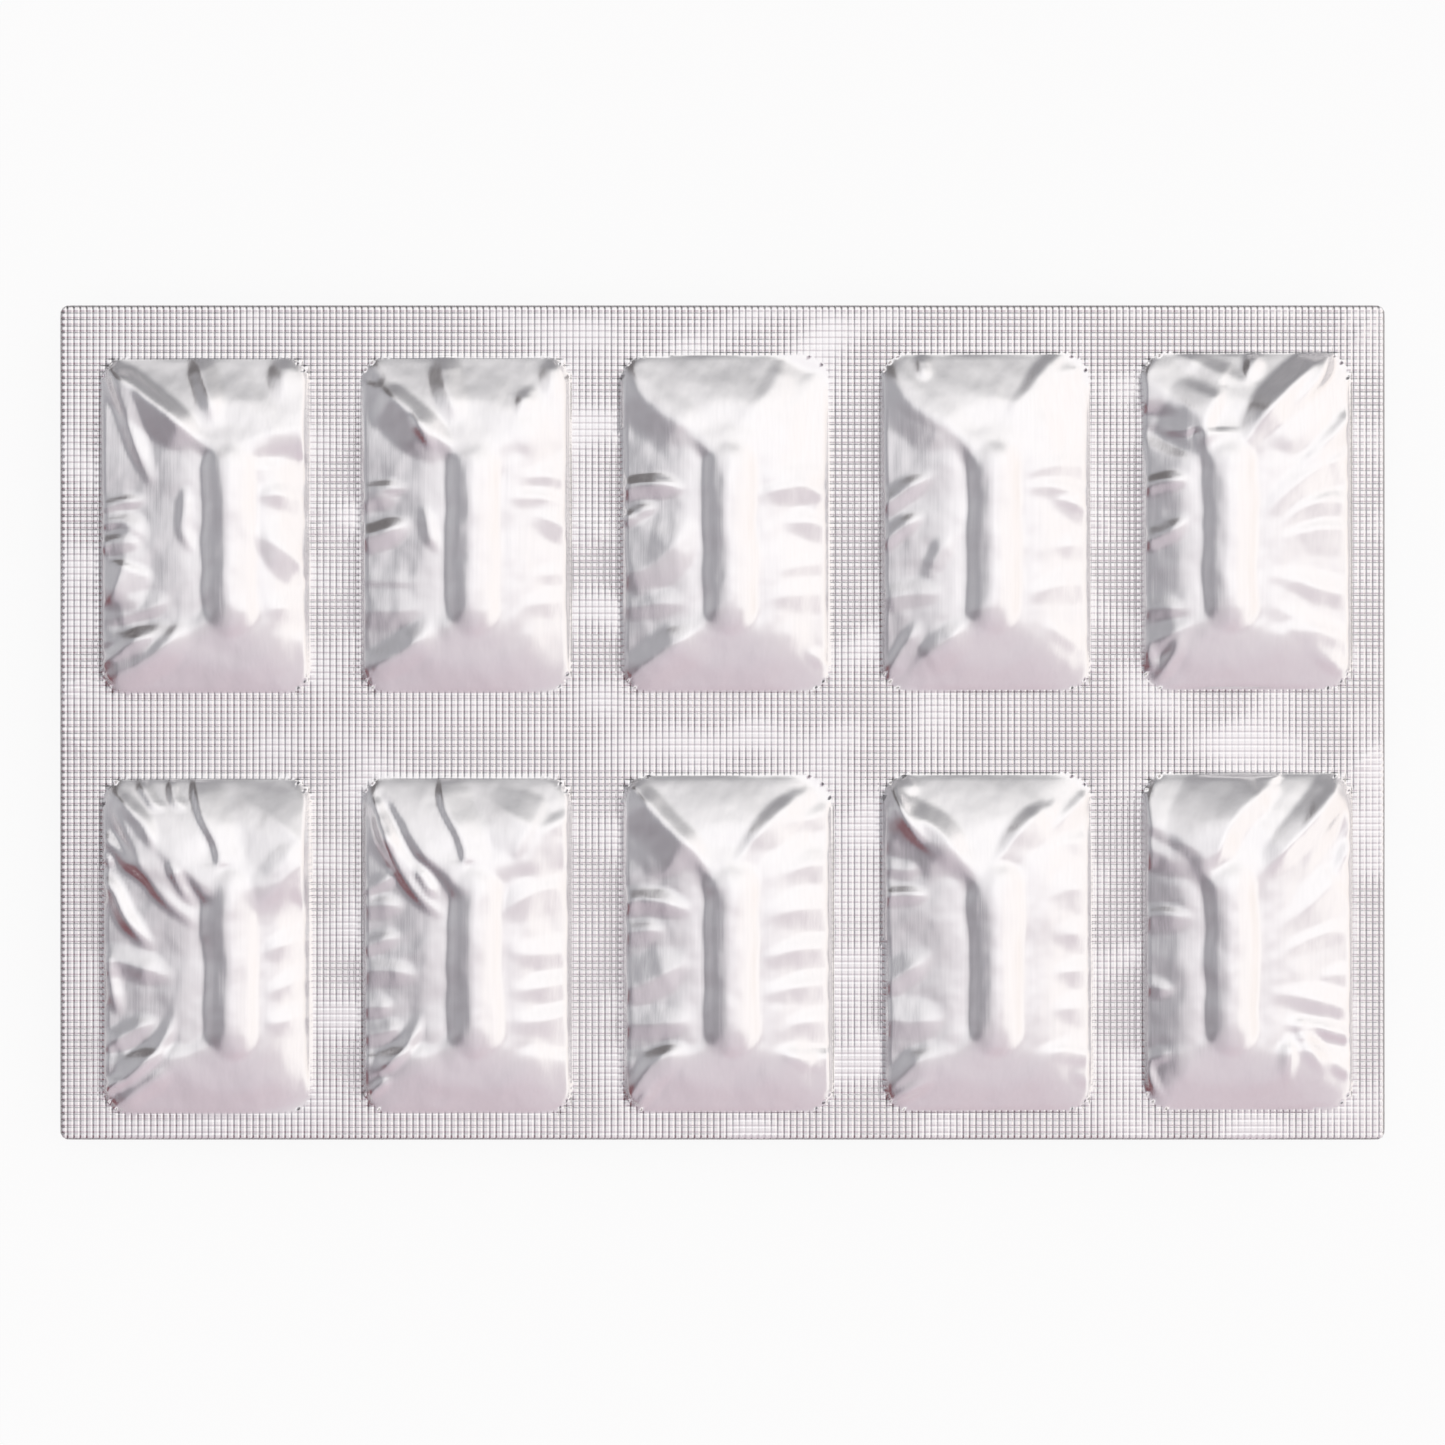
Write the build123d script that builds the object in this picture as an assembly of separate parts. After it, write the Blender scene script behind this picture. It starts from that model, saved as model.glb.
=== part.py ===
# A sealed foil pill pack: ten pockets, in two rows of five, each tented over one capsule.
# Two webs of soft aluminium foil are sealed face to face all round the capsules, so the pack is one closed piece.
# The thin seal flange carries the same drawn-up pocket on both of its faces. In a pocket the foil climbs from the
# outline in two side panels, which wrap the capsule's flanks, and two end panels, drawn straight over its ends.
# Spare foil in the side panels is gathered into pleats that run in from the outline towards the capsule.
# Frame: +X along the pack, +Y up the capsules, +Z off the surface that it lies on. The origin is on that surface,
# under the centre of the cut outline. Sizes are in millimetres.

import os

from math import asin, cos, hypot, radians, sin

from build123d import *

# The grid of pockets
pocket_width = 21.0  # along X
pocket_length = 33.8  # along Y, the way the capsule lies
pocket_corner_radius = 2.9
column_seal = 5.0  # width of the seal between two columns
row_seal = 8.2  # width of the seal between two rows
grid_turn = 0.25  # degrees that the pockets are out of square with the cut outline

# The cut outline of the flange
left_margin = 4.1
right_margin = 3.3
top_margin = 4.9
bottom_margin = 2.7
pack_corner_radius = 0.8
seal_thickness = 0.3  # both webs, with the height of the knurl

# The capsule that shapes each pocket, a size 0
capsule_diameter = 7.65
capsule_length = 21.7
capsule_drop = 1.5  # how far it sits below the pocket's middle
capsule_shifts = (2.3, 0.5, 0.0, 0.2, -2.4)  # along X from the pocket's middle, one for each column
foil_thickness = 0.08
rest_flat_depth = 0.05  # how far the lower crowns are pressed flat by what the pack lies on

# The panels
wrap_angle = 50.0  # degrees round the capsule, from its crown to where a side panel leaves it
end_crown_width = 3.0  # of an end panel where it meets the capsule's crown
end_slack = 0.03  # how far the foil of an end panel stands off the capsule's crown

# The pleats. A longer pleat is also wider and higher, so those are shares of its length.
pleat_width_share = 0.3
pleat_height_share = 0.075
pleat_crest_place = 0.3  # share of a pleat's length from the outline to its highest place
pleat_reach = 0.9  # share of the side panel's width that a pleat crosses
pleat_bite = 0.1  # how far a pleat's corners are sunk into the panel
pleat_foot_depth = 1.0

# Where the pleats lie, as (place on the outline, place at the capsule), both along Y in shares of the pocket's
# half length. Each pocket has those of its left side panel, then those of its right one.
upper_row = (
    (
        ((0.80, 0.38), (0.58, 0.32), (0.09, 0.20), (-0.14, -0.10), (-0.71, -0.34), (-0.86, -0.52)),
        ((0.44, 0.40), (0.12, 0.15), (-0.30, -0.08), (-0.50, -0.56)),
    ),
    (
        ((0.76, 0.38), (0.14, 0.31), (-0.06, 0.12), (-0.85, -0.65)),
        ((0.10, 0.30), (-0.05, 0.14), (-0.30, -0.33), (-0.48, -0.51)),
    ),
    (
        ((0.28, 0.27), (0.15, 0.13), (-0.01, 0.06), (-0.31, -0.08), (-0.50, -0.48)),
        ((0.28, 0.26), (0.12, 0.15), (-0.03, 0.03), (-0.24, -0.31), (-0.44, -0.50)),
    ),
    (
        ((0.07, 0.34), (-0.15, 0.14), (-0.45, -0.48)),
        ((0.30, 0.26), (0.08, 0.16), (0.00, 0.00), (-0.16, -0.22), (-0.38, -0.49)),
    ),
    (
        ((0.20, 0.27), (-0.13, 0.10), (-0.52, -0.55), (-0.74, -0.62)),
        ((0.80, 0.45), (0.62, 0.25), (0.37, 0.00), (-0.26, -0.11), (-0.45, -0.31), (-0.70, -0.45)),
    ),
)
lower_row = (
    (
        ((0.78, 0.24), (0.58, 0.14), (0.38, -0.06), (-0.06, -0.22), (-0.60, -0.33), (-0.84, -0.56)),
        ((0.08, -0.02), (-0.10, -0.28), (-0.36, -0.46)),
    ),
    (
        ((0.76, 0.24), (0.23, 0.20), (-0.02, 0.06), (-0.16, -0.21), (-0.55, -0.38), (-0.76, -0.50)),
        ((0.40, 0.28), (0.12, 0.00), (-0.05, -0.12), (-0.18, -0.27), (-0.36, -0.46)),
    ),
    (
        ((0.36, 0.28), (0.24, 0.18), (-0.27, -0.09), (-0.47, -0.45), (-0.84, -0.52)),
        ((0.48, 0.36), (0.34, 0.25), (0.20, 0.10), (-0.02, -0.09), (-0.24, -0.31), (-0.40, -0.49)),
    ),
    (
        ((0.32, 0.32), (0.20, 0.18), (-0.27, -0.02), (-0.44, -0.46)),
        ((0.31, 0.24), (0.05, 0.03), (-0.10, -0.18), (-0.37, -0.42), (-0.53, -0.64)),
    ),
    (
        ((0.15, 0.15), (-0.24, -0.26)),
        ((0.80, 0.42), (0.62, 0.15), (0.06, -0.08), (-0.41, -0.30), (-0.57, -0.46), (-0.76, -0.52)),
    ),
)

# Sizes that follow
bulge_radius = capsule_diameter / 2 + foil_thickness
capsule_straight = capsule_length - capsule_diameter
half_seal = seal_thickness / 2
rows = (upper_row, lower_row)
column_pitch = pocket_width + column_seal
row_pitch = pocket_length + row_seal
grid_width = len(capsule_shifts) * column_pitch - column_seal
grid_length = len(rows) * row_pitch - row_seal
pack_width = left_margin + grid_width + right_margin
pack_length = top_margin + grid_length + bottom_margin
grid_centre_x = (left_margin - right_margin) / 2
grid_centre_y = (bottom_margin - top_margin) / 2
seal_middle_height = bulge_radius - rest_flat_depth

# The shoulder is where the side panels leave the capsule. Rises count from the flange's face.
shoulder_half_width = bulge_radius * sin(radians(wrap_angle))
shoulder_rise = bulge_radius * cos(radians(wrap_angle)) - half_seal


def ball_centre(end):
    # Where the capsule's rounded end has its centre along Y, for end = 1 or -1
    return end * capsule_straight / 2 - capsule_drop


def side_panels(shift):
    # The foil drawn from the long sides of the outline to the shoulder
    corners = [(side, end) for side in (-1, 1) for end in (-1, 1)]
    outline = [
        (side * pocket_width / 2, end * pocket_length / 2, z)
        for side, end in corners
        for z in (0, -half_seal)
    ]
    shoulder = [
        (shift + side * shoulder_half_width, ball_centre(end), shoulder_rise)
        for side, end in corners
    ]
    return ConvexPolyhedron(outline + shoulder)


def side_panel_rise(side, x, shift):
    outline_x = side * pocket_width / 2
    shoulder_x = shift + side * shoulder_half_width
    return shoulder_rise * (x - outline_x) / (shoulder_x - outline_x)


def end_panel(end, shift):
    # The foil drawn straight from one short side over the capsule's rounded end. Beside the capsule it drops in a
    # crease from the crown to the shoulder, and the crease runs out to the outline's corner.
    outline_y, ball_y = end * pocket_length / 2, ball_centre(end)
    distance = hypot(outline_y - ball_y, half_seal)
    slope = asin(bulge_radius / distance) - asin(half_seal / distance)
    crown_y = ball_y + end * bulge_radius * sin(slope)
    crown_rise = bulge_radius * cos(slope) - half_seal + end_slack
    points = []
    for side in (-1, 1):
        shoulder_x = shift + side * shoulder_half_width
        points += [
            (side * pocket_width / 2, outline_y, 0),
            (side * pocket_width / 2, outline_y, -half_seal),
            (shift + side * end_crown_width / 2, crown_y, crown_rise),
            (shoulder_x, ball_y, shoulder_rise),
            (shoulder_x, ball_y, -half_seal),
        ]
    return ConvexPolyhedron(points)


def pleat(side, outline_place, capsule_place, shift):
    # A ridge on a side panel, widest and highest near the outline, with a foot inside the pocket
    start = Vector(side * pocket_width / 2, outline_place * pocket_length / 2)
    flank = Vector(shift + side * shoulder_half_width, capsule_place * pocket_length / 2)
    run = (flank - start) * pleat_reach
    middle = start + run * pleat_crest_place
    aside = Vector(-run.Y, run.X) * pleat_width_share / 2
    base = [
        Vector(place.X, place.Y, side_panel_rise(side, place.X, shift) - pleat_bite)
        for place in (start, middle - aside, start + run, middle + aside)
    ]
    middle_rise = side_panel_rise(side, middle.X, shift)
    crest = Vector(middle.X, middle.Y, middle_rise + run.length * pleat_height_share)
    foot = Vector(middle.X, middle.Y, middle_rise - pleat_foot_depth)
    return ConvexPolyhedron([*base, crest, foot])


def capsule(shift):
    # The capsule in its foil, built upright and then laid along Y
    barrel = Cylinder(bulge_radius, capsule_straight)
    ends = [Pos(Z=end * capsule_straight / 2) * Sphere(bulge_radius) for end in (-1, 1)]
    return Pos(shift, -capsule_drop, -half_seal) * Rot(X=90) * (barrel + ends)


def pocket(side_pleats, shift):
    # One face's pocket with its pleats, standing on the plane Z = 0 and trimmed to its rounded outline
    end_panels = [end_panel(end, shift) for end in (1, -1)]
    pleats = [
        pleat(side, *places, shift)
        for side, group in zip((-1, 1), side_pleats)
        for places in group
    ]
    drawn_up = side_panels(shift) + end_panels + pleats + capsule(shift)
    outline = RectangleRounded(pocket_width, pocket_length, pocket_corner_radius)
    return drawn_up & extrude(outline, 2 * bulge_radius)


def foil_pack():
    # The whole pack about the middle of its seal, then lifted so that its pressed crowns lie at Z = 0
    flange = extrude(RectangleRounded(pack_width, pack_length, pack_corner_radius), half_seal, both=True)
    turn = Pos(grid_centre_x, grid_centre_y) * Rot(Z=grid_turn)
    middle_row, middle_column = (len(rows) - 1) / 2, (len(capsule_shifts) - 1) / 2
    pockets = []
    for row, row_pleats in enumerate(rows):
        for column, (side_pleats, shift) in enumerate(zip(row_pleats, capsule_shifts)):
            place = Pos((column - middle_column) * column_pitch, (middle_row - row) * row_pitch)
            upper = Pos(Z=half_seal) * pocket(side_pleats, shift)
            # The under web is drawn round the same capsule, so it mirrors the upper one
            pockets += [turn * place * upper, turn * place * mirror(upper, about=Plane.XY)]
    pack = Pos(Z=seal_middle_height) * (flange + pockets)
    below = Box(pack_width, pack_length, bulge_radius, align=(Align.CENTER, Align.CENTER, Align.MAX))
    return pack - below


os.makedirs("parts", exist_ok=True)
pack = foil_pack()
export_step(pack.solids()[0], "parts/foil_pack.step")
print("solids", len(pack.solids()), "volume", round(pack.volume), "faces", len(pack.faces()))
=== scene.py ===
import math

import bmesh
import bpy
import numpy as np
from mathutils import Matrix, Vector, noise


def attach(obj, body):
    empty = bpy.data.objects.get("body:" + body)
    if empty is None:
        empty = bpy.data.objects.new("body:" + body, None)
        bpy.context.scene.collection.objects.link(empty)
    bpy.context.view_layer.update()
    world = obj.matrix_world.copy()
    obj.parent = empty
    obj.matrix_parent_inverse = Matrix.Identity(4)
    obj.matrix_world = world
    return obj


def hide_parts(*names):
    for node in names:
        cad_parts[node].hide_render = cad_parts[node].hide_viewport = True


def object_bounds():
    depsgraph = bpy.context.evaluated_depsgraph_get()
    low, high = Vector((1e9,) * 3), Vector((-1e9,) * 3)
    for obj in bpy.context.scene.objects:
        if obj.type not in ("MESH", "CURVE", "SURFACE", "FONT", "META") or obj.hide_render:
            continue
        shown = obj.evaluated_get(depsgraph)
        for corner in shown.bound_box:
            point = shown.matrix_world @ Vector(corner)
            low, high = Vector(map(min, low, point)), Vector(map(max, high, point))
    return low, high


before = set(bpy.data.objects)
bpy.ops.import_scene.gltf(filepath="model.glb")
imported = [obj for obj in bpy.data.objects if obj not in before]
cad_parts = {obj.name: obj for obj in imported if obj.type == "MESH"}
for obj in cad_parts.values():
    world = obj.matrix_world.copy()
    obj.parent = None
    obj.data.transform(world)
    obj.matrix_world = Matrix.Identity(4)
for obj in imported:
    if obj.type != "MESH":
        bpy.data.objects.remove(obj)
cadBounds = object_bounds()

# Lengths are in millimetres, in the CAD's frame. Each piece is scaled to metres at its end.
millimetre = 0.001
cadSize = [round((high - low) / millimetre, 3) for low, high in zip(*cadBounds)]

capsuleShape = {
    "radius": 3.905,  # with the foil over it
    "straight": 14.05,
    "drop": 1.5,  # below the pocket's middle
    "shifts": (2.3, 0.5, 0.0, 0.2, -2.4),  # to the right of the pocket's middle, by column
    "ridgeShift": 0.45,  # how far to the right of its axis the foil is highest
}

packShape = {
    "width": cadSize[0],
    "length": cadSize[1],
    "cornerRadius": 0.8,
    "middleHeight": cadSize[2] - capsuleShape["radius"],  # of the seal above the table
    "halfSeal": 0.15,
    "pocketWidth": 21.0,
    "pocketLength": 33.8,
    "pocketCornerRadius": 2.9,
    "columnPitch": 26.0,
    "rowPitch": 42.0,
    "gridCentre": (0.4, -1.1),
    "gridTurn": 0.25,  # degrees
    "onOutline": 0.001,  # how near to a pocket's outline the foil still counts as seal
}

knurlShape = {
    "columns": 207,  # of its cells
    "rows": 127,
    "valley": 0.035,  # height of the grooves over the seal's middle
    "peak": 0.15,
    "fullCell": 0.42,  # length of a peak's edges from which it has its full height
    "wear": 0.35,  # share of its height that the knurl loses where it is rolled thin
    "bump": 0.85,  # strength of the finer knurl that the material adds
    "wornBump": 0.5,  # how far it follows the rolled patches
    "leastBump": 0.25,
}

foilShape = {
    "ridge": 1.4,  # distance from the capsule's axis within which the foil is tented over it
    "ridgeSharpness": 1.7,  # the tent has its full slope at that distance over this
    "ridgeWander": (0.25, 0.28),  # how far the tent's ridge wanders along the capsule, and how often
    "ridgeSeed": 20,  # sets that wander apart from the hollow's
    "leaves": 2.25,  # distance from the axis at which the side panels leave the capsule
    "hollow": 0.95,  # over which they turn back towards level
    "hollowWander": (0.4, 0.2),  # how far that hollow wanders along the capsule, and how often
    "wanderFrom": 1.2,  # distance from the axis at which its wander starts
    "wanderEase": 1.5,  # over which it grows
    "pillow": 0.06,  # slope by which the side panels are flatter just past the hollow
    "pillowPlace": 2.0,
    "pillowWidth": 1.3,
    "panelEase": 3.4,  # over which they reach their slope
    "rimHeight": 0.85,  # their height at the seal
    "sideEase": 3.0,  # half of the width over which the left panel gives way to the right one
    "farthest": 20.0,  # no place in a pocket is farther from its capsule's axis
    "sideDrop": 1.15,  # how high the side panels' ends are, as a share of the end panels
    "sideRound": 1.5,  # rounding where they start
    "capsuleRound": 0.1,  # rounding where the side panels meet the capsule
    "noCapsule": -2.0,  # height that stands for the capsule where there is none, well under the foil
    "crownRound": 0.2,  # rounding of the end panels' tops, as a share of their length
    "bowEase": 0.2,  # share of their length over which they bow upwards from the seal
    "tentFall": 0.035,  # how fast they fall away beside the capsule
    "tentLength": 5.0,  # how far their edges run on there
    "tentWidth": 0.6,  # between those edges' ends
    "flankSlopes": ((0.4, 0.7), (0.35, 0.5)),  # left and right of them, from the seal to the capsule
    "veeSoftness": ((0.25, 0.7), (0.7, 1.2)),  # rounding of their left and right edges, above and below
    "blend": 0.35,  # rounding where they meet the capsule
    "endBlend": 1.3,  # what is added to it at the foot of their flanks
    "endBlendEase": (3.0, 5.0),  # over which it grows, from the capsule and from the seal
    "rim": 0.5,  # width of the rounded rim at the seal
    "rimPower": 2.2,  # a higher one makes the rim steeper at its foot
    "lift": 0.02,  # least height of a pocket's foil over the seal
}

foldShape = {
    "scale": 1.1,  # of the heights of the pockets' folds
    "reach": 1.2,  # of the reaches of all folds and creases
    "crest": 0.08,  # rounding of their crests
    "start": 0.15,  # share of its length along which a fold grows from half of its height
    "hold": 0.55,  # share of its length after which it fades
    "rightHold": 0.3,  # the same where it starts on the right and isn't tall
    "tall": 0.8,
    "looseFrom": 1.6,  # distance from the capsule's axis within which the foil is too taut for folds
    "looseEase": 2.0,  # over which they reach their height
}

foilNoise = {
    "worn": {"height": 1.0, "scale": (0.045, 0.045), "seed": 4.0},  # patches where the knurl is rolled thin
    "pressed": {"height": 0.7, "scale": (0.16, 0.22), "seed": 11.0},  # how hard it is pressed
    "crumple": {"height": 0.05, "scale": (0.3, 0.3), "seed": 7.0, "smoothness": 0.8, "octaves": 3},
    "swell": {"height": 0.11, "scale": (0.13, 0.16), "seed": 17.0},  # broad soft bulges of the panels
    "wrinkle": {"height": 0.034, "scale": (0.6, 0.35), "seed": 23.0, "smoothness": 0.9, "octaves": 2},
}

endBows = {"upper": (0.06, 0.03), "lower": (0.2, 0.03)}  # of the end panels above and below, by row

# Where the end panels' edges run, left then right, at six even steps from the capsule's crown to the seal:
# of the panel above the capsule, then of that below it.
upperVees = (
    (
        ((1.6, -0.6, -2.8, -5.2, -7.4, -9.4), (4.5, 8.5, 10.2, 10.4, 10.5, 10.5)),
        ((-0.6, -3.4, -5.8, -7.8, -9.2, -9.8), (4.4, 5.8, 7.2, 8.6, 9.8, 10.3)),
    ),
    (
        ((-0.6, -2.6, -4.6, -6.6, -8.2, -9.4), (2.4, 4.8, 7.0, 8.8, 9.8, 10.2)),
        ((-2.2, -3.2, -5.0, -8.0, -9.6, -10.2), (2.8, 3.8, 5.0, 6.4, 7.8, 9.0)),
    ),
    (
        ((-1.2, -3.2, -5.8, -8.2, -9.1, -9.2), (1.6, 2.6, 3.6, 4.4, 5.0, 5.4)),
        ((-2.2, -3.6, -5.4, -7.6, -9.3, -10.0), (2.2, 3.2, 4.2, 5.6, 7.4, 9.4)),
    ),
    (
        ((-1.4, -3.4, -6.4, -8.6, -9.0, -8.0), (1.8, 2.8, 3.8, 4.8, 6.4, 7.6)),
        ((-2.2, -3.4, -4.8, -6.2, -7.6, -8.6), (2.4, 3.4, 4.6, 6.2, 8.0, 9.6)),
    ),
    (
        ((-4.0, -4.2, -4.8, -9.0, -10.4, -10.4), (-0.9, 1.8, 4.6, 6.6, 7.6, 8.2)),
        ((-4.4, -5.4, -6.4, -7.2, -8.0, -8.8), (-0.4, 2.0, 4.6, 7.0, 8.8, 9.8)),
    ),
)
lowerVees = (
    (
        ((-0.8, -3.6, -5.3, -6.6, -8.0, -9.6), (8.0, 9.8, 10.4, 10.5, 10.5, 10.5)),
        ((-0.4, -4.0, -7.0, -9.0, -10.0, -10.2), (4.0, 4.8, 5.8, 7.0, 7.9, 8.2)),
    ),
    (
        ((-1.4, -3.8, -6.2, -7.4, -8.4, -9.4), (2.0, 5.0, 8.0, 10.0, 10.3, 10.4)),
        ((-2.0, -5.2, -7.8, -9.0, -9.6, -10.0), (2.8, 5.0, 7.2, 8.8, 9.8, 10.2)),
    ),
    (
        ((-1.6, -2.8, -4.6, -6.8, -8.6, -9.8), (0.6, 1.2, 2.4, 4.4, 6.2, 7.4)),
        ((-2.2, -5.2, -7.8, -9.0, -9.8, -10.0), (2.2, 5.2, 7.8, 9.4, 10.2, 10.4)),
    ),
    (
        ((-1.6, -4.0, -7.0, -8.6, -9.1, -9.4), (0.7, 1.1, 2.6, 5.2, 6.8, 7.9)),
        ((-2.2, -4.2, -6.2, -8.0, -9.2, -10.0), (2.4, 5.0, 7.4, 9.0, 10.0, 10.3)),
    ),
    (
        ((-4.3, -7.0, -9.4, -10.1, -10.3, -10.4), (-0.6, 0.8, 2.6, 5.0, 7.2, 9.0)),
        ((-4.4, -5.8, -6.8, -7.6, -8.2, -8.8), (-0.2, 2.8, 5.4, 7.2, 8.6, 9.6)),
    ),
)

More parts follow.
